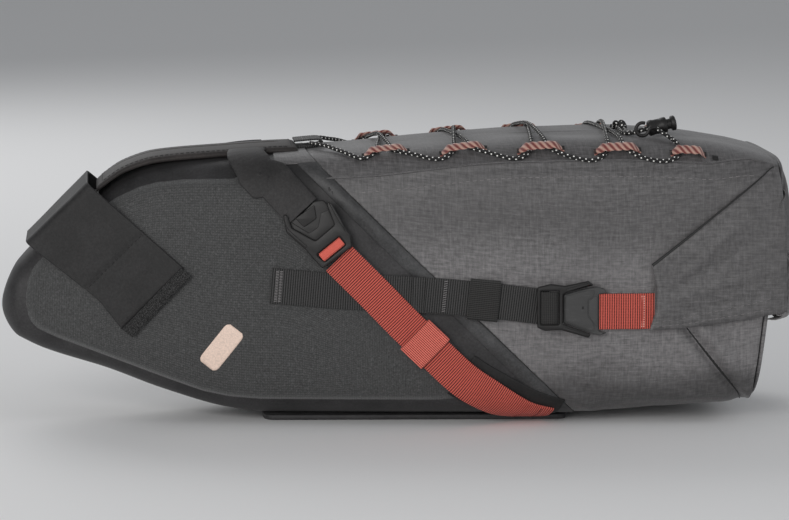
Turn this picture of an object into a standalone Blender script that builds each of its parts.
"""A roll-top saddle bag: a hollow tapered bag, its moulded nose, straps, buckles, lacing and roll closure.

Units are metres. +Z is up, -X is the nose that points at the seatpost, +X is the roll-top mouth, and -Y is
the bag's left side. The origin is on the base patch, which the bag stands on, half way along the bag.
"""

import math

import bmesh
import bpy
import numpy as np
from mathutils import Matrix, Vector

# ---------------------------------------------------------------- driving dimensions
NOSE_X = -0.277
CAP_LENGTH = 0.012
TOP_LINE = ((-0.277, 0.097), (-0.257, 0.120), (-0.209, 0.160), (-0.187, 0.1735), (-0.160, 0.181),
            (-0.100, 0.1865), (-0.030, 0.1905), (0.030, 0.1945), (0.090, 0.198), (0.150, 0.1985),
            (0.200, 0.1965), (0.240, 0.1905), (0.264, 0.1845))
BOTTOM_LINE = ((-0.277, 0.064), (-0.2486, 0.0495), (-0.2034, 0.035), (-0.165, 0.0205), (-0.120, 0.0075),
               (-0.098, 0.0045), (0.120, 0.0045), (0.145, 0.0055), (0.184, 0.008), (0.212, 0.0095),
               (0.240, 0.0125), (0.264, 0.017))
HALF_WIDTH = ((-0.277, 0.022), (-0.240, 0.031), (-0.200, 0.040), (-0.150, 0.050), (-0.100, 0.058),
              (0.0, 0.069), (0.100, 0.077), (0.200, 0.081), (0.264, 0.081))
SQUARENESS = ((-0.277, 2.6), (-0.200, 3.4), (-0.100, 4.2), (0.0, 5.0), (0.100, 5.6), (0.264, 5.6))
SHELL_WALL = 0.0018
JOINT_TOP = (-0.0605, 0.1855)      # the welded joint between nose and rear, a slanted plane
JOINT_FOOT = (0.1285, 0.0)
MOUTH_TOP = (0.2620, 0.1860)       # the plane of the roll-top mouth
MOUTH_FOOT = (0.2420, 0.0100)
GAP = 0.0004                       # between pieces that touch
RING_SIDES = 40

PANEL_THICKNESS = 0.0016
PANEL_LEVEL = 0.0012               # how far the moulded panels' inner faces stand off the shell
OVER_PANEL = 0.0032                # the level of what lies on the moulded panels
WEBBING_WIDTH = 0.025
WEBBING_THICKNESS = 0.0016
FOLDED_THICKNESS = 0.0028          # a strap with its tail folded back on it
RED_THICKNESS = 0.0018
BUCKLE_THICKNESS = 0.003
OUTER_PLANE = 0.0882               # |Y| of the ears' and the side buckles' outer faces
LATCH_PLANE = 0.0846               # |Y| of the latches' outer faces
CLOSURE_HINGE = (0.2632, 0.1870)   # X, Z of the edge that the roll closure swings about

LOOP_FIRST = -0.0264
LOOP_PITCH = 0.0529
LOOP_COUNT = 5
LOOP_LENGTH = 0.0325
LAST_LOOP_LENGTH = 0.0245
LOOP_ROOM = 0.0039
LOOP_WIDTH = 0.008
LOOP_THICKNESS = 0.0018
LOOP_SPREAD = (0.70, 0.77, 0.82, 0.84, 0.85)   # |Y| of each pair of loops, as a share of the half width
CORD_RADIUS = 0.0014

SIDES = (("left", -1), ("right", 1))


# ---------------------------------------------------------------- scene helpers
def clear_scene():
    for obj in list(bpy.data.objects):
        bpy.data.objects.remove(obj)


def new_collection(name):
    collection = bpy.data.collections.new(name)
    bpy.context.scene.collection.children.link(collection)
    return collection


def material(name, colour, roughness, metallic=0.0):
    made = bpy.data.materials.new(name)
    made.use_nodes = True
    shader = made.node_tree.nodes["Principled BSDF"]
    shader.inputs["Base Color"].default_value = (*colour, 1.0)
    shader.inputs["Roughness"].default_value = roughness
    shader.inputs["Metallic"].default_value = metallic
    return made


def pivot(name, position):
    """An empty on a joint's axis, which the pieces of one moving body are parented to."""
    empty = bpy.data.objects.new(name, None)
    empty.location = position
    empty.empty_display_size = 0.01
    BAG.objects.link(empty)
    return empty


def place(obj, finish, parent=None):
    """Puts an object in the bag's collection, keeping its place under its parent."""
    obj.data.materials.append(finish)
    BAG.objects.link(obj)
    if parent is not None:
        obj.parent = parent
        obj.matrix_parent_inverse = Matrix.Translation(parent.location).inverted()
    return obj


# ---------------------------------------------------------------- the bag's surface
def along(line, x):
    """The height of a smooth line through its points, without overshoot."""
    xs = [point[0] for point in line]
    zs = [point[1] for point in line]
    x = min(max(x, xs[0]), xs[-1])
    at = min(int(np.searchsorted(xs, x, side="right")) - 1, len(xs) - 2)
    slopes = [(zs[i + 1] - zs[i]) / (xs[i + 1] - xs[i]) for i in range(len(xs) - 1)]

    def slope(i):
        if i == 0 or i == len(xs) - 1:
            return slopes[min(i, len(slopes) - 1)]
        before, after = slopes[i - 1], slopes[i]
        return 0.0 if before * after <= 0 else 2 * before * after / (before + after)

    span = xs[at + 1] - xs[at]
    t = (x - xs[at]) / span
    return ((2 * t**3 - 3 * t**2 + 1) * zs[at] + (t**3 - 2 * t**2 + t) * span * slope(at)
            + (3 * t**2 - 2 * t**3) * zs[at + 1] + (t**3 - t**2) * span * slope(at + 1))


def section(x):
    """Half width, centre height, half height and squareness of the section at x."""
    share = min(max((x - NOSE_X) / CAP_LENGTH, 0.0), 1.0)
    cap = math.sqrt(max(0.0, 1 - (1 - share) ** 2))
    top, bottom = along(TOP_LINE, x), along(BOTTOM_LINE, x)
    return along(HALF_WIDTH, x) * cap, (top + bottom) / 2, (top - bottom) / 2 * cap, along(SQUARENESS, x)


def signed_power(value, power):
    return math.copysign(abs(value) ** power, value)


def skin(x, angle):
    """The surface point at x: angle 0 is the left side, a quarter turn the crown."""
    wide, centre, high, power = section(x)
    return Vector((x, -wide * signed_power(math.cos(angle), 2 / power),
                   centre + high * signed_power(math.sin(angle), 2 / power)))


def land(point):
    """The x and angle of the surface point under a point near the surface."""
    wide, centre, high, power = section(point[0])
    across = signed_power(-point[1] / wide, power / 2)
    up = signed_power((point[2] - centre) / high, power / 2)
    return point[0], math.atan2(up, across)


def outward(x, angle):
    """The surface's unit normal."""
    step_x = skin(min(x + 0.001, 0.264), angle) - skin(x - 0.001, angle)
    step_angle = skin(x, angle + 0.01) - skin(x, angle - 0.01)
    return step_x.cross(step_angle).normalized()


def lifted(point, level):
    """The point at a level above the surface."""
    x, angle = land(point)
    return skin(x, angle) + outward(x, angle) * level


def side_point(x, z):
    """The point of the left side at x and z."""
    wide, centre, high, power = section(x)
    share = min(abs(z - centre) / high, 0.999)
    return Vector((x, -wide * (1 - share**power) ** (1 / power), z))


def top_point(x, y):
    wide, centre, high, power = section(x)
    return Vector((x, y, centre + high * (1 - min(abs(y) / wide, 0.999) ** power) ** (1 / power)))


def smooth_route(points, spacing):
    """Points about `spacing` apart on a Catmull-Rom curve through the given points of any dimension."""
    knots = [np.array(point, float) for point in points]
    knots = [2 * knots[0] - knots[1], *knots, 2 * knots[-1] - knots[-2]]
    made = []
    for a, b, c, d in zip(knots, knots[1:], knots[2:], knots[3:]):
        count = max(1, round(float(np.linalg.norm((c - b)[:3])) / spacing))
        for t in np.arange(count) / count:
            made.append(0.5 * (2 * b + (c - a) * t + (2 * a - 5 * b + 4 * c - d) * t**2
                               + (3 * b - a - 3 * c + d) * t**3))
    made.append(knots[-2])
    return made


# ---------------------------------------------------------------- makers of simple shapes
def sheet(name, side, rows, thickness, finish, parent=None):
    """A curved sheet through a grid of left-side points, thickened outward; side +1 mirrors it."""
    mesh = bpy.data.meshes.new(name)
    shape = bmesh.new()
    grid = [[shape.verts.new((p[0], -side * p[1], p[2])) for p in row] for row in rows]
    for row, following in zip(grid, grid[1:]):
        for corners in zip(row, row[1:], following[1:], following):
            shape.faces.new(corners)
    shape.normal_update()
    middles = [(face.normal, face.calc_center_median()) for face in shape.faces]
    if sum(normal.dot(middle - Vector((middle.x, 0, 0.1))) for normal, middle in middles) < 0:
        bmesh.ops.reverse_faces(shape, faces=shape.faces)
    shape.to_mesh(mesh)
    shape.free()
    mesh.shade_smooth()
    obj = bpy.data.objects.new(name, mesh)
    if parent is not None:
        mesh.transform(Matrix.Translation(-parent.location))
        obj.location = (0, 0, 0)
    thick = obj.modifiers.new("thickness", "SOLIDIFY")
    thick.thickness = thickness
    thick.offset = 1
    thick.use_even_offset = True
    place(obj, finish, parent)
    if parent is not None:
        obj.matrix_parent_inverse = Matrix.Identity(4)
    return obj


def ribbon(name, side, route, width, thickness, finish, parent=None, spacing=0.012, columns=3):
    """A strap along a route of (x, y, z, level) points beside the left skin."""
    points = smooth_route(route, spacing)
    middles = [lifted(p[:3], 0) for p in points]
    rows = []
    for at, (point, middle) in enumerate(zip(points, middles)):
        ahead = middles[min(at + 1, len(middles) - 1)] - middles[max(at - 1, 0)]
        across = outward(*land(middle)).cross(ahead).normalized() * width / 2
        rows.append([lifted(middle + across * share, point[3]) for share in np.linspace(1, -1, columns)])
    return sheet(name, side, rows, thickness, finish, parent)


def outline_curve(name, outlines, thickness):
    """A flat plate from 2D outlines; the second and later outlines are holes."""
    curve = bpy.data.curves.new(name, "CURVE")
    curve.dimensions = "2D"
    curve.fill_mode = "BOTH"
    curve.extrude = thickness / 2
    for outline in outlines:
        spline = curve.splines.new("POLY")
        spline.points.add(len(outline) - 1)
        for point, (u, v) in zip(spline.points, outline):
            point.co = (u, v, 0, 1)
        spline.use_cyclic_u = True
    return curve


def plate(name, side, outlines, frame, thickness, finish, parent=None):
    """A flat plate whose inner face lies on the left-side frame's XY plane; side +1 mirrors it."""
    if side > 0:
        turn = Matrix.Diagonal((1, -1, 1, 1)) @ frame @ Matrix.Diagonal((-1, 1, 1, 1))
        outlines = [[(-u, v) for u, v in outline] for outline in outlines]
    else:
        turn = frame
    obj = bpy.data.objects.new(name, outline_curve(name, outlines, thickness))
    world = turn @ Matrix.Translation((0, 0, thickness / 2))
    if parent is not None:
        world = Matrix.Translation(-parent.location) @ world
    obj.matrix_world = world
    place(obj, finish, parent)
    if parent is not None:
        obj.matrix_parent_inverse = Matrix.Identity(4)
    return obj


def rested(points, clear):
    """The points, with each one that is less than `clear` above the surface lifted to that height."""
    made = []
    for point in points:
        point = Vector(point[:3])
        x, angle = land(point)
        normal = outward(x, angle)
        height = (point - skin(x, angle)).dot(normal)
        made.append(point + normal * max(0.0, clear - height))
    return made


def frame_at(origin, u, v):
    """A matrix with its X along u, its Y along v and its Z outward."""
    u = Vector(u).normalized()
    n = u.cross(Vector(v)).normalized()
    v = n.cross(u)
    return Matrix(((u.x, v.x, n.x, origin[0]), (u.y, v.y, n.y, origin[1]),
                   (u.z, v.z, n.z, origin[2]), (0, 0, 0, 1)))


def side_frame(x, z, level):
    """A frame that touches the left side at x and z, at a level above it."""
    here = side_point(x, z)
    ahead = side_point(x + 0.01, z) - side_point(x - 0.01, z)
    above = side_point(x, z + 0.008) - side_point(x, z - 0.008)
    frame = frame_at(here, ahead, above)
    return frame @ Matrix.Translation((0, 0, level))


def flat_side_frame(inner):
    """A frame on the plane |Y| = inner, with u = X and v = Z."""
    return frame_at((0, -inner, 0), (1, 0, 0), (0, 0, 1))


def around(points, x, z):
    """Side-view points made relative to a frame's origin."""
    return [(px - x, pz - z) for px, pz in points]


def rounded_slot(width, height, corner, steps=4):
    """A rounded rectangle's outline."""
    made = []
    for sign_x, sign_y, start in ((1, 1, 0), (-1, 1, 90), (-1, -1, 180), (1, -1, 270)):
        for step in range(steps + 1):
            turn = math.radians(start + 90 * step / steps)
            made.append((sign_x * (width / 2 - corner) + corner * math.cos(turn),
                         sign_y * (height / 2 - corner) + corner * math.sin(turn)))
    return made


def tube(name, points, radius, finish, parent=None):
    """A cord or wire through its points: a POLY curve with a round bevel and closed ends."""
    origin = Vector((0, 0, 0)) if parent is None else parent.location
    curve = bpy.data.curves.new(name, "CURVE")
    curve.dimensions = "3D"
    curve.bevel_depth = radius
    curve.bevel_resolution = 2
    curve.use_fill_caps = True
    spline = curve.splines.new("POLY")
    spline.points.add(len(points) - 1)
    for point, place_at in zip(spline.points, points):
        point.co = (*(Vector(place_at) - origin), 1)
    obj = bpy.data.objects.new(name, curve)
    place(obj, finish, parent)
    if parent is not None:
        obj.matrix_parent_inverse = Matrix.Identity(4)
    return obj


def turned(name, profile, frame, finish, parent, segments=20):
    """A turned piece: a profile of (radius, height) from top to bottom, swept about the frame's Z."""
    mesh = bpy.data.meshes.new(name)
    mesh.from_pydata([(radius, 0, height) for radius, height in profile],
                     [(i, i + 1) for i in range(len(profile) - 1)], [])
    obj = bpy.data.objects.new(name, mesh)
    screw = obj.modifiers.new("turn", "SCREW")
    screw.steps = segments
    screw.render_steps = segments
    screw.use_merge_vertices = True
    screw.merge_threshold = 0.00001
    obj.matrix_world = Matrix.Translation(-parent.location) @ frame
    place(obj, finish, parent)
    obj.matrix_parent_inverse = Matrix.Identity(4)
    return obj


# ---------------------------------------------------------------- shells and panels
def bag_surface():
    """The whole outer surface, from the nose's tip to just past the mouth."""
    shape = bmesh.new()
    cap = [NOSE_X + CAP_LENGTH * (1 - math.cos(math.radians(turn))) for turn in (30, 52, 72, 90)]
    body = [-0.255, -0.240, -0.220, -0.200, -0.180, -0.160, -0.135, -0.110, -0.085, -0.055, -0.020,
            0.020, 0.060, 0.100, 0.135, 0.165, 0.195, 0.225, 0.245, 0.264]
    tip = shape.verts.new(skin(NOSE_X, 0))
    rings = [[shape.verts.new(skin(x, math.tau * i / RING_SIDES)) for i in range(RING_SIDES)]
             for x in cap + body]
    for i in range(RING_SIDES):
        shape.faces.new((tip, rings[0][i - 1], rings[0][i]))
    for ring, following in zip(rings, rings[1:]):
        for i in range(RING_SIDES):
            shape.faces.new((ring[i], ring[i - 1], following[i - 1], following[i]))
    bmesh.ops.recalc_face_normals(shape, faces=shape.faces)
    return shape


def cut_away(shape, top, foot, shift, keep_front):
    """Removes the surface on one side of a plane that holds the Y axis's direction."""
    run = Vector((foot[0] - top[0], 0, foot[1] - top[1])).normalized()
    rearward = Vector((-run.z, 0, run.x))
    point = Vector((top[0], 0, top[1])) + rearward * shift
    bmesh.ops.bisect_plane(shape, geom=[*shape.verts, *shape.edges, *shape.faces], plane_co=point,
                           plane_no=rearward, clear_outer=keep_front, clear_inner=not keep_front)


def shell(name, shape, finish):
    mesh = bpy.data.meshes.new(name)
    shape.to_mesh(mesh)
    shape.free()
    mesh.shade_smooth()
    obj = bpy.data.objects.new(name, mesh)
    wall = obj.modifiers.new("wall", "SOLIDIFY")
    wall.thickness = SHELL_WALL
    wall.offset = -1
    return place(obj, finish)


def nose_shell():
    shape = bag_surface()
    cut_away(shape, JOINT_TOP, JOINT_FOOT, -GAP / 2, True)
    return shell("nose_shell", shape, SMOOTH_BLACK)


def rear_shell():
    shape = bag_surface()
    cut_away(shape, JOINT_TOP, JOINT_FOOT, GAP / 2, False)
    cut_away(shape, MOUTH_TOP, MOUTH_FOOT, 0.0, True)
    return shell("rear_shell", shape, GREY_FABRIC)


def nose_panel(label, side):
    """The moulded stiff side of the nose, from its tip to the slanted edge ahead of the joint."""
    upper = ((-0.260, 0.104), (-0.255, 0.112), (-0.235, 0.131), (-0.209, 0.152), (-0.195, 0.160),
             (-0.172, 0.170), (-0.100, 0.173), (-0.078, 0.172), (0.0058, 0.0896), (0.027, 0.064))
    lower = ((-0.260, 0.069), (-0.248, 0.062), (-0.203, 0.045), (-0.158, 0.028), (-0.128, 0.018),
             (-0.098, 0.0165), (0.027, 0.0165))
    upper_x = [p[0] for p in upper]
    lower_x = [p[0] for p in lower]
    stations = (-0.260, -0.255, -0.245, -0.235, -0.222, -0.209, -0.195, -0.172, -0.145, -0.115,
                -0.090, -0.078, -0.070, -0.062, -0.052, -0.038, -0.020, 0.0058, 0.027)
    rows = []
    for x in stations:
        high = float(np.interp(x, upper_x, [p[1] for p in upper]))
        low = float(np.interp(x, lower_x, [p[1] for p in lower]))
        rows.append([lifted(side_point(x, high + (low - high) * share), PANEL_LEVEL)
                     for share in (0, 0.04, 0.09, 0.16, 0.27, 0.42, 0.58, 0.73, 0.84, 0.91, 0.96, 1)])
    return sheet(f"nose_panel_{label}", side, rows, PANEL_THICKNESS, MOULDED_BLACK)


def base_patch():
    outline = [(-0.095, -0.034), (0.118, -0.048), (0.118, 0.048), (-0.095, 0.034)]
    thickness = 0.0036
    return plate("base_patch", -1, [outline], Matrix.Identity(4), thickness, SMOOTH_BLACK)


def base_stiffener():
    outline = [(-0.070, -0.030), (0.090, -0.040), (0.090, 0.040), (-0.070, 0.030)]
    height = 0.0095
    return plate("base_stiffener", -1, [outline], Matrix.Translation((0, 0, height)), 0.0015, PLASTIC)


# ---------------------------------------------------------------- nose fittings
PAD_FLAT_FRONT = (-0.168, 0.1862)
PAD_FLAT_REAR = (-0.070, 0.1930)
PAD_HALF_WIDTH = 0.026


def saddle_pad():
    """The pad that bears on the saddle: a strip along the nose's crown with a flat top."""
    profile = [(-0.210, 0.1665), (-0.190, 0.1800), PAD_FLAT_FRONT, PAD_FLAT_REAR,
               (PAD_FLAT_REAR[0], 0.1896), (-0.168, 0.1828), (-0.188, 0.1765), (-0.2085, 0.1635)]
    frame = frame_at((0, PAD_HALF_WIDTH, 0), (1, 0, 0), (0, 0, 1))
    return plate("saddle_pad", -1, [profile], frame, 2 * PAD_HALF_WIDTH, SMOOTH_BLACK)


def cord_tab():
    """The folded tab that both lacing cords start from."""
    profile = [(-0.067, 0.1905), (-0.053, 0.1912), (-0.053, 0.1955), (-0.057, 0.1968), (-0.067, 0.1950)]
    frame = frame_at((0, 0.013, 0), (1, 0, 0), (0, 0, 1))
    return plate("cord_tab", -1, [profile], frame, 0.026, WEBBING_BLACK)


FOLD_HIGH = (-0.2153, 0.1685)
FOLD_LOW = (-0.2582, 0.1264)
FLAP_SLOPE = 0.215                 # how fast the nose widens along X
FLAP_OFFSET = 0.0433               # |Y| of the flap's inner face at X = -0.200
BAND_THICKNESS = 0.0016


def flap_y(x):
    """Y of the seatpost flap's inner face on the left."""
    return -(FLAP_OFFSET + FLAP_SLOPE * (x + 0.200))


def flap_frame():
    return frame_at((FOLD_LOW[0], flap_y(FOLD_LOW[0]), FOLD_LOW[1]), (1, -FLAP_SLOPE, 0), (0, 0, 1))


def on_flap(points):
    """Side-view points as the flap frame's own coordinates."""
    stretch = math.hypot(1, FLAP_SLOPE)
    return [((x - FOLD_LOW[0]) * stretch, z - FOLD_LOW[1]) for x, z in points]


def seatpost_flap(parent):
    """The hook-and-loop end of the seatpost strap, closed on the nose's left side."""
    shift = 0.0006
    outline = [(FOLD_LOW[0] + shift, FOLD_LOW[1] - shift), (-0.209, 0.088), (-0.1934, 0.0678),
               (-0.1862, 0.0623), (-0.1463, 0.1051), (-0.1504, 0.1113),
               (FOLD_HIGH[0] + shift, FOLD_HIGH[1] - shift)]
    return plate("seatpost_flap", -1, [on_flap(outline)], flap_frame(), BAND_THICKNESS, STRAP_BLACK, parent)


def hook_strip(parent):
    outline = [(-0.1934, 0.0680), (-0.1862, 0.0625), (-0.1463, 0.1053), (-0.1511, 0.1122)]
    frame = flap_frame() @ Matrix.Translation((0, 0, BAND_THICKNESS + 0.0003))
    return plate("hook_strip", -1, [on_flap(outline)], frame, 0.0012, HOOK_BLACK, parent)


def seatpost_strap():
    """The fixed half of the seatpost strap: across the front of the nose and back along its right side."""
    along_fold = [(FOLD_LOW, (-0.1934, 0.0678)), (FOLD_HIGH, (-0.1504, 0.1113))]
    rows = []
    for fold, end in along_fold:
        front = Vector((fold[0], flap_y(fold[0]), fold[1]))
        back = Vector((end[0], flap_y(end[0]), end[1]))
        rows.append([Vector((front.x, front.y + 0.0003, front.z)), Vector((front.x, -front.y, front.z)),
                     Vector((back.x, -back.y, back.z))])
    return sheet("seatpost_strap", -1, [list(row) for row in zip(*rows)], BAND_THICKNESS, STRAP_BLACK)


def seatpost_pad():
    """The grip pad on the nose's slanted front, behind the strap."""
    middle = Vector(((FOLD_LOW[0] + FOLD_HIGH[0]) / 2, 0, (FOLD_LOW[1] + FOLD_HIGH[1]) / 2))
    run = Vector((FOLD_HIGH[0] - FOLD_LOW[0], 0, FOLD_HIGH[1] - FOLD_LOW[1])).normalized()
    frame = frame_at(middle, (0, -1, 0), run)
    thickness = 0.0038
    frame = frame @ Matrix.Translation((0, 0, -thickness - 0.0006))
    return plate("seatpost_pad", -1, [rounded_slot(0.040, 0.046, 0.006)], frame, thickness, RUBBER)


# ---------------------------------------------------------------- straps and buckles
RED_ROUTE = ((-0.0440, 0.1190, 0.0050), (-0.0205, 0.0953, 0.0050), (0.0004, 0.0737, 0.0049),
             (0.0194, 0.0553, 0.0048), (0.0410, 0.0350, 0.0044), (0.0590, 0.0225, 0.0030),
             (0.0720, 0.0150, 0.0026))
SIDE_ROOT_ROUTE = ((-0.0870, 0.0993, OVER_PANEL), (-0.0710, 0.0980, OVER_PANEL),
                   (-0.0400, 0.0956, OVER_PANEL), (-0.0100, 0.0946, OVER_PANEL),
                   (0.0155, 0.0932, OVER_PANEL))
SIDE_ROUTE = ((0.0165, 0.0931, 0.0022), (0.0462, 0.0905, 0.0021), (0.0675, 0.0884, 0.0021),
              (0.0985, 0.0845, 0.0021))
HOOK_PLACE = (-0.0620, 0.1400)
HOOK_LEVEL = OVER_PANEL
RED_HINGE = (0.0725, 0.0146)
SIDE_HINGE = (0.0160, 0.0932)
RED_KEEPER_X = 0.0140
SIDE_KEEPER_X = 0.0565


def beside(route):
    """(x, z, level) points of the left side as a ribbon's (x, y, z, level) points."""
    return [(*side_point(x, z), level) for x, z, level in route]


def saddle_strap(label, side):
    """The wide strap that comes out from under the pad and ends in the hook."""
    level = OVER_PANEL + 0.0003
    shoulder = [(-0.1060, -0.0335), (-0.1025, -0.0420), (-0.0975, -0.0505)]
    route = [(*top_point(x, y), level) for x, y in shoulder]
    route += beside([(-0.0915, 0.1735, level), (-0.0777, 0.1610, level), (-0.0735, 0.1560, level)])
    return ribbon(f"saddle_strap_{label}", side, route, 0.026, WEBBING_THICKNESS, STRAP_BLACK,
                  spacing=0.006, columns=5)


def saddle_hook(label, side):
    """The upper, V-shaped half of the saddle buckle."""
    outline = [(-0.0775, 0.1460), (-0.0795, 0.1382), (-0.0601, 0.1269), (-0.0423, 0.1407),
               (-0.0497, 0.1543), (-0.0545, 0.1590), (-0.0610, 0.1580), (-0.0700, 0.1490)]
    frame = side_frame(*HOOK_PLACE, HOOK_LEVEL)
    return plate(f"saddle_hook_{label}", side, [around(outline, *HOOK_PLACE)], frame, BUCKLE_THICKNESS,
                 GLOSS_BLACK)


def saddle_buckle(label, side, parent):
    """The lower half of the saddle buckle: two wings, a slot for the red strap and its bar."""
    outline = [(-0.0819, 0.1490), (-0.0796, 0.1364), (-0.0664, 0.1250), (-0.0610, 0.1185),
               (-0.0548, 0.1119), (-0.0343, 0.1272), (-0.0356, 0.1355), (-0.0424, 0.1444),
               (-0.0504, 0.1586), (-0.0520, 0.1560), (-0.0465, 0.1420), (-0.0595, 0.1310),
               (-0.0760, 0.1400), (-0.0790, 0.1490)]
    slot = [(-0.0590, 0.1215), (-0.0530, 0.1165), (-0.0385, 0.1285), (-0.0430, 0.1345)]
    frame = side_frame(*HOOK_PLACE, HOOK_LEVEL + BUCKLE_THICKNESS + 0.0011)
    outlines = [around(outline, *HOOK_PLACE), around(slot, *HOOK_PLACE)]
    return plate(f"saddle_buckle_{label}", side, outlines, frame, BUCKLE_THICKNESS, GLOSS_BLACK, parent)


def red_strap(label, side, parent):
    return ribbon(f"red_strap_{label}", side, beside(RED_ROUTE), WEBBING_WIDTH, RED_THICKNESS,
                  RED_WEBBING, parent, columns=5)


def root_patch(label, side):
    """The welded patch that holds the red strap's lower end."""
    route = [(0.0400, 0.0360, 0.0004), (0.0600, 0.0235, 0.0004), (0.0820, 0.0140, 0.0004)]
    return ribbon(f"root_patch_{label}", side, beside(route), 0.034, 0.0008, SMOOTH_BLACK, spacing=0.006,
                  columns=11)


def side_strap_root(label, side):
    return ribbon(f"side_strap_root_{label}", side, beside(SIDE_ROOT_ROUTE), 0.022, WEBBING_THICKNESS,
                  WEBBING_BLACK)


def side_strap(label, side, parent):
    return ribbon(f"side_strap_{label}", side, beside(SIDE_ROUTE), WEBBING_WIDTH, FOLDED_THICKNESS,
                  WEBBING_BLACK, parent)


def keeper(name, side, route, middle_x, length, width, thickness, finish, parent):
    """A ring of webbing round a strap; its hole is 0.4 mm clear of the strap."""
    points = smooth_route(beside(route), 0.003)
    at = min(range(len(points)), key=lambda i: abs(points[i][0] - middle_x))
    first, here, second = (lifted(points[i][:3], points[i][3] + thickness / 2) for i in (at - 2, at, at + 2))
    normal = outward(*land(here))
    frame = frame_at(here, (second - first).cross(normal), normal)
    frame = frame @ Matrix.Translation((0, 0, -length / 2))
    room = 0.0011
    wall = 0.0008
    hole = rounded_slot(width + 2 * room, thickness + 2 * room, 0.0004, 1)
    ring = rounded_slot(width + 2 * (room + wall), thickness + 2 * (room + wall), 0.0008, 2)
    return plate(name, side, [ring, hole], frame, length, finish, parent)


def side_buckle(label, side, parent):
    """The ladder half of the side buckle, with its two wings over the latch."""
    outline = [(0.0910, 0.0995), (0.1002, 0.1018), (0.1099, 0.1003), (0.1265, 0.1036), (0.1300, 0.1007),
               (0.1085, 0.0948), (0.1085, 0.0740), (0.1282, 0.0667), (0.1268, 0.0639), (0.1074, 0.0697),
               (0.0963, 0.0692), (0.0910, 0.0715)]
    slots = [[(left, 0.0735), (left + 0.005, 0.0735), (left + 0.005, 0.0965), (left, 0.0965)]
             for left in (0.0930, 0.1010)]
    frame = flat_side_frame(OUTER_PLANE - BUCKLE_THICKNESS)
    return plate(f"side_buckle_{label}", side, [outline, *slots], frame, BUCKLE_THICKNESS, GLOSS_BLACK, parent)


def latch(label, side, parent):
    """The latch half of the side buckle, on the closure's red webbing."""
    outline = [(0.1095, 0.0936), (0.1242, 0.0976), (0.1326, 0.0989), (0.1381, 0.0974), (0.1395, 0.0945),
               (0.1333, 0.0940), (0.1333, 0.0675), (0.1398, 0.0670), (0.1349, 0.0648), (0.1279, 0.0668),
               (0.1095, 0.0741)]
    frame = flat_side_frame(LATCH_PLANE - BUCKLE_THICKNESS)
    return plate(f"latch_{label}", side, [outline], frame, BUCKLE_THICKNESS, SATIN_BLACK, parent)


# ---------------------------------------------------------------- roll closure
def mouth_frame(level):
    """A frame on the mouth's plane, at its top edge on the centre: u along -Y, v up the plane, rear facing."""
    run = Vector((MOUTH_TOP[0] - MOUTH_FOOT[0], 0, MOUTH_TOP[1] - MOUTH_FOOT[1]))
    frame = frame_at((MOUTH_TOP[0], 0, MOUTH_TOP[1]), (0, 1, 0), run)
    return frame @ Matrix.Translation((0, 0, level))


def rear_panel(parent):
    """The folded-down end of the bag that closes the mouth."""
    inset = 0.0015
    x = (MOUTH_TOP[0] + MOUTH_FOOT[0]) / 2
    frame = mouth_frame(0.0005)
    back = frame.inverted()
    outline = []
    for i in range(32):
        turn = math.tau * i / 32
        point = skin(x, turn)
        wide, centre, high, _ = section(x)
        point.y *= 1 - inset / wide
        point.z = centre + (point.z - centre) * (1 - inset / high) - 0.0015
        share = (MOUTH_TOP[1] - point.z) / (MOUTH_TOP[1] - MOUTH_FOOT[1])
        point.x = MOUTH_TOP[0] + (MOUTH_FOOT[0] - MOUTH_TOP[0]) * share
        local = back @ point
        outline.append((local.x, local.y))
    return plate("rear_panel", -1, [outline], frame, 0.003, GREY_FABRIC, parent)


ROLL_DEPTH = 0.012
ROLL_HEIGHT = 0.046
ROLL_HALF_LENGTH = 0.0848


def roll_frame():
    middle_z = 0.099
    share = (MOUTH_TOP[1] - middle_z) / (MOUTH_TOP[1] - MOUTH_FOOT[1])
    x = MOUTH_TOP[0] + (MOUTH_FOOT[0] - MOUTH_TOP[0]) * share + 0.0040 + ROLL_DEPTH / 2
    run = (MOUTH_TOP[0] - MOUTH_FOOT[0], 0, MOUTH_TOP[1] - MOUTH_FOOT[1])
    return frame_at((x, ROLL_HALF_LENGTH, middle_z), Vector((0, 1, 0)).cross(Vector(run)), run)


def closure_roll(parent):
    """The rolled-up mouth, round the stiffener that it is rolled on."""
    ring = rounded_slot(ROLL_DEPTH, ROLL_HEIGHT, 0.0055, 5)
    core = rounded_slot(0.0034, 0.034, 0.0010, 1)
    return plate("closure_roll", -1, [ring, core], roll_frame(), 2 * ROLL_HALF_LENGTH, GREY_FABRIC, parent)


def roll_stiffener(parent):
    frame = roll_frame() @ Matrix.Translation((0, 0, 0.002))
    outline = rounded_slot(0.0022, 0.032, 0.0005, 1)
    return plate("roll_stiffener", -1, [outline], frame, 2 * ROLL_HALF_LENGTH - 0.004, PLASTIC, parent)


def closure_ear(label, side, parent):
    """The end of the roll, folded forward and pulled along the bag's side."""
    outline = [(0.2560, 0.1790), (0.1707, 0.1129), (0.1729, 0.1045), (0.1744, 0.0913), (0.1691, 0.0683),
               (0.1949, 0.0701), (0.2395, 0.0757), (0.2647, 0.0796), (0.2662, 0.0887), (0.2640, 0.1000),
               (0.2610, 0.1138), (0.2610, 0.1305), (0.2618, 0.1600), (0.2605, 0.1720)]
    frame = flat_side_frame(OUTER_PLANE - 0.003)
    return plate(f"closure_ear_{label}", side, [outline], frame, 0.003, GREY_FABRIC, parent)


def ear_strap(label, side, parent):
    outline = [(0.1338, 0.0685), (0.1600, 0.0685), (0.1850, 0.0700), (0.1850, 0.0945), (0.1600, 0.0935),
               (0.1338, 0.0930)]
    frame = flat_side_frame(0.0822)
    return plate(f"ear_strap_{label}", side, [outline], frame, WEBBING_THICKNESS, RED_WEBBING, parent)


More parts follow.
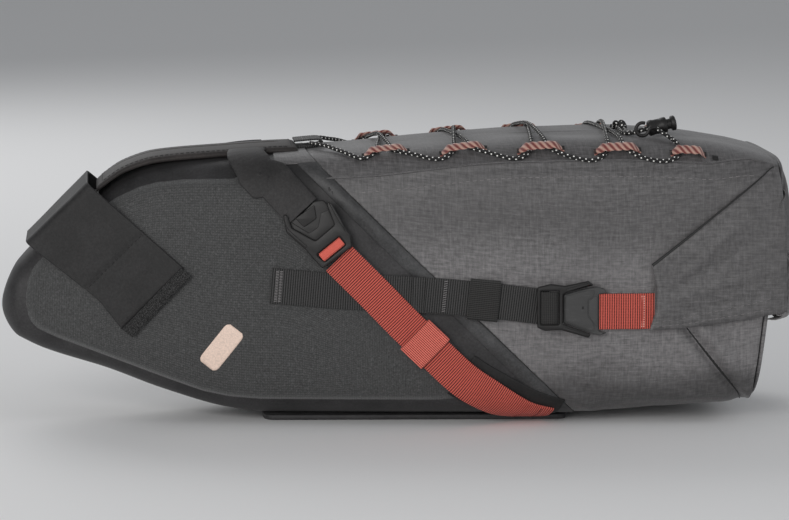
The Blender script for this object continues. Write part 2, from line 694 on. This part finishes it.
# ---------------------------------------------------------------- lacing
def loop_span(i):
    start = LOOP_FIRST + LOOP_PITCH * i
    return start, start + (LAST_LOOP_LENGTH if i == LOOP_COUNT - 1 else LOOP_LENGTH)


def loop_y(i):
    start, end = loop_span(i)
    return -LOOP_SPREAD[i] * section((start + end) / 2)[0]


def lacing_loop(label, side, i):
    """One webbing loop on the top edge: an arch along X that the cords pass under."""
    start, end = loop_span(i)
    y = loop_y(i)
    rows = []
    for share, rise in ((0, 0), (0.04, 0.45), (0.10, 0.85), (0.18, 1), (0.5, 1), (0.82, 1), (0.90, 0.85),
                        (0.96, 0.45), (1, 0)):
        x = start + (end - start) * share
        up = outward(*land(top_point(x, y)))
        across = Vector((1, 0, 0)).cross(up).normalized()
        middle = top_point(x, y) + up * (GAP + (LOOP_ROOM - GAP) * rise)
        rows.append([middle + across * LOOP_WIDTH / 2, middle - across * LOOP_WIDTH / 2])
    return sheet(f"lacing_loop_{label}_{i + 1}", side, rows, LOOP_THICKNESS, RED_WEBBING)


LOCK_PLACE = (0.1805, -0.0400)
LOCK_TILT = math.radians(12)
LOCK_RADIUS = 0.0055
LOCK_LENGTH = 0.0135


def lock_centre():
    return top_point(*LOCK_PLACE) + Vector((0, 0, LOCK_RADIUS + 0.0022))


def lacing_route(side):
    """A cord from the tab, crossing the top at each pair of loops, to the cord lock."""
    level = CORD_RADIUS + 0.0004
    clear = level + 0.0004
    over = 2 * CORD_RADIUS + 0.0008 if side > 0 else 0.0
    route = [(-0.0600, side * (0.013 + GAP), 0.1930), (-0.0590, side * 0.0180, 0.1930),
             (-0.0500, side * 0.0280, 0.1925)]
    here = side
    for i in range(LOOP_COUNT):
        start, end = loop_span(i)
        y = abs(loop_y(i))
        front, rear = start + (end - start) * 0.30, start + (end - start) * 0.66
        route.append(lifted(top_point(front - 0.010, here * (y + 0.0050)), clear))
        route.append(lifted(top_point(front, here * y), level))
        if i == LOOP_COUNT - 1:
            break
        middle = (front + rear) / 2
        reach = (rear - front) * (y - 0.012) / (2 * y)
        route.append(lifted(top_point(middle - reach, here * (y - 0.012)), level))
        route.append(lifted(top_point(middle - reach / 4, here * (y - 0.012) / 4), level + over))
        route.append(lifted(top_point(middle + reach / 4, -here * (y - 0.012) / 4), level + over))
        route.append(lifted(top_point(middle + reach, -here * (y - 0.012)), level))
        here = -here
        route.append(lifted(top_point(rear, here * y), level))
        route.append(lifted(top_point(rear + 0.010, here * (y + 0.0050)), clear))
    return route, here


def lacing(label, side):
    route, here = lacing_route(side)
    centre = lock_centre()
    level = CORD_RADIUS + 0.0004
    face = centre + Vector((-0.001, here * (LOCK_RADIUS + CORD_RADIUS * 0.2 + 0.0005), -0.001))
    if here < 0:
        inner = lifted(top_point(0.1890, -0.0560), level + 0.001)
        route += [inner, face + Vector((0.0015, -0.004, -0.0012)), face]
    else:
        route += [lifted(top_point(0.1905, y), level) for y in (0.050, 0.025, 0.0)]
        route += [lifted(top_point(0.1870, -0.020), level), face + Vector((0.0015, 0.005, -0.002)), face]
    points = rested(smooth_route(route, 0.0085), level + 0.0003)
    return tube(f"lacing_{label}", points, CORD_RADIUS, CORD_BLACK)


def lock_frame():
    """The cord lock's own frame: Z along its barrel, towards the button."""
    barrel = Vector((math.cos(LOCK_TILT), 0, math.sin(LOCK_TILT)))
    return frame_at(lock_centre(), (0, 1, 0), barrel.cross(Vector((0, 1, 0))))


def cord_lock(parent):
    """The barrel of the cord lock, bored for its button and spring."""
    half = LOCK_LENGTH / 2
    bore, floor = 0.0040, -half + 0.002
    profile = [(bore, half), (LOCK_RADIUS, half), (LOCK_RADIUS, -half + 0.001), (LOCK_RADIUS - 0.001, -half),
               (0.0, -half)]
    profile = [(0.0, floor), (bore, floor), *profile]
    return turned("cord_lock", profile, lock_frame(), GLOSS_BLACK, parent)


def cord_lock_button(parent):
    half = LOCK_LENGTH / 2
    profile = [(0.0, half + 0.0065), (0.0044, half + 0.0065), (0.0052, half + 0.0056), (0.0052, half + 0.0034),
               (0.0036, half + 0.0034), (0.0036, -half + 0.0075), (0.0, -half + 0.0075)]
    return turned("cord_lock_button", profile, lock_frame(), GLOSS_BLACK, parent)


def cord_lock_spring(parent):
    """A short coil between the barrel's floor and the button."""
    half = LOCK_LENGTH / 2
    low, high = -half + 0.0026, -half + 0.0070
    turns, wire, radius = 3, 0.00025, 0.0030
    frame = lock_frame()
    route = []
    for step in range(turns * 10 + 1):
        turn = math.tau * step / 10
        height = low + (high - low) * step / (turns * 10)
        route.append(frame @ Vector((radius * math.cos(turn), radius * math.sin(turn), height)))
    return tube("cord_lock_spring", route, wire, STEEL, parent)


TAIL_LEVEL = CORD_RADIUS + 0.0004


TAIL_RUN = ((0.1650, -0.0385, 0.0010), (0.1605, -0.0330, 0.0), (0.1592, -0.0260, 0.0),
            (0.1590, -0.0160, 0.0014))


def tail_route(offset):
    """One free tail, from the cord lock's end down to the bag's top and along to the knot."""
    frame = lock_frame()
    route = [frame @ Vector((offset, 0, -LOCK_LENGTH / 2 - distance)) for distance in (0.0006, 0.0045)]
    before = route[-1]
    for x, y, rise in TAIL_RUN:
        run = Vector((x - before.x, y - before.y, 0)).normalized()
        route.append(lifted(top_point(x + run.y * offset, y - run.x * offset), TAIL_LEVEL + rise))
        before = Vector((x, y, 0))
    return rested(smooth_route(route, 0.004), TAIL_LEVEL)


def cord_tail(number, parent):
    offset = 0.0018 if number == 1 else -0.0018
    return tube(f"cord_tail_{number}", tail_route(offset), CORD_RADIUS, CORD_BLACK, parent)


def cord_knot(parent):
    """The overhand knot with the two cut ends beyond it, as one closed form."""
    place_at = lifted(top_point(0.1590, -0.0090), 0.0046)
    mesh = bpy.data.meshes.new("cord_knot")
    shape = bmesh.new()
    bmesh.ops.create_uvsphere(shape, u_segments=14, v_segments=8, radius=1)
    size = Vector((0.0056, 0.0058, 0.0042))
    for vert in shape.verts:
        vert.co = Vector((vert.co.x * size.x, vert.co.y * size.y, vert.co.z * size.z)) + place_at
    shape.to_mesh(mesh)
    shape.free()
    mesh.transform(Matrix.Translation(-parent.location))
    mesh.shade_smooth()
    obj = bpy.data.objects.new("cord_knot", mesh)
    place(obj, CORD_BLACK, parent)
    obj.matrix_parent_inverse = Matrix.Identity(4)
    return obj


# ---------------------------------------------------------------- the whole bag
def build():
    nose_shell()
    rear_shell()
    base_patch()
    base_stiffener()
    saddle_pad()
    cord_tab()
    seatpost_strap()
    seatpost_pad()
    flap_line = pivot("seatpost_flap_pivot",
                      (FOLD_LOW[0], flap_y(FOLD_LOW[0]) - BAND_THICKNESS, FOLD_LOW[1]))
    seatpost_flap(flap_line)
    hook_strip(flap_line)

    closure = pivot("closure_pivot", (CLOSURE_HINGE[0], 0, CLOSURE_HINGE[1]))
    rear_panel(closure)
    closure_roll(closure)
    roll_stiffener(closure)

    for label, side in SIDES:
        nose_panel(label, side)
        saddle_strap(label, side)
        saddle_hook(label, side)
        root_patch(label, side)
        side_strap_root(label, side)
        red_end = lifted(side_point(*RED_HINGE), 0.0050)
        red_pivot = pivot(f"red_strap_{label}_pivot", (red_end.x, -side * red_end.y, red_end.z))
        red_strap(label, side, red_pivot)
        saddle_buckle(label, side, red_pivot)
        keeper(f"red_keeper_{label}", side, RED_ROUTE, RED_KEEPER_X, 0.020, WEBBING_WIDTH,
               RED_THICKNESS, RED_WEBBING, red_pivot)
        side_end = lifted(side_point(*SIDE_HINGE), 0.0050)
        side_pivot = pivot(f"side_strap_{label}_pivot", (side_end.x, -side * side_end.y, side_end.z))
        side_strap(label, side, side_pivot)
        side_buckle(label, side, side_pivot)
        keeper(f"side_keeper_{label}", side, SIDE_ROUTE, SIDE_KEEPER_X, 0.021, WEBBING_WIDTH, FOLDED_THICKNESS,
               WEBBING_BLACK, side_pivot)
        latch(label, side, closure)
        ear_strap(label, side, closure)
        closure_ear(label, side, closure)
        for i in range(LOOP_COUNT):
            lacing_loop(label, side, i)
        lacing(label, side)

    lock = pivot("cord_lock_pivot", lock_centre())
    cord_lock(lock)
    cord_lock_button(lock)
    cord_lock_spring(lock)
    cord_tail(1, lock)
    cord_tail(2, lock)
    cord_knot(lock)


clear_scene()
BAG = new_collection("saddle_bag")
SMOOTH_BLACK = material("smooth coated fabric", (0.024, 0.024, 0.026), 0.55)
MOULDED_BLACK = material("moulded heather panel", (0.052, 0.052, 0.053), 0.62)
GREY_FABRIC = material("grey ripstop", (0.135, 0.128, 0.130), 0.55)
STRAP_BLACK = material("wide strap", (0.033, 0.032, 0.032), 0.6)
HOOK_BLACK = material("hook tape", (0.010, 0.010, 0.010), 0.9)
WEBBING_BLACK = material("black webbing", (0.018, 0.017, 0.017), 0.75)
RED_WEBBING = material("red webbing", (0.42, 0.075, 0.055), 0.75)
GLOSS_BLACK = material("black nylon", (0.020, 0.019, 0.019), 0.38)
SATIN_BLACK = material("latch nylon", (0.060, 0.060, 0.060), 0.45)
CORD_BLACK = material("flecked cord", (0.018, 0.017, 0.017), 0.8)
RUBBER = material("grip rubber", (0.020, 0.020, 0.020), 0.9)
PLASTIC = material("stiffener sheet", (0.6, 0.6, 0.58), 0.5)
STEEL = material("spring steel", (0.6, 0.6, 0.6), 0.3, 1.0)
build()
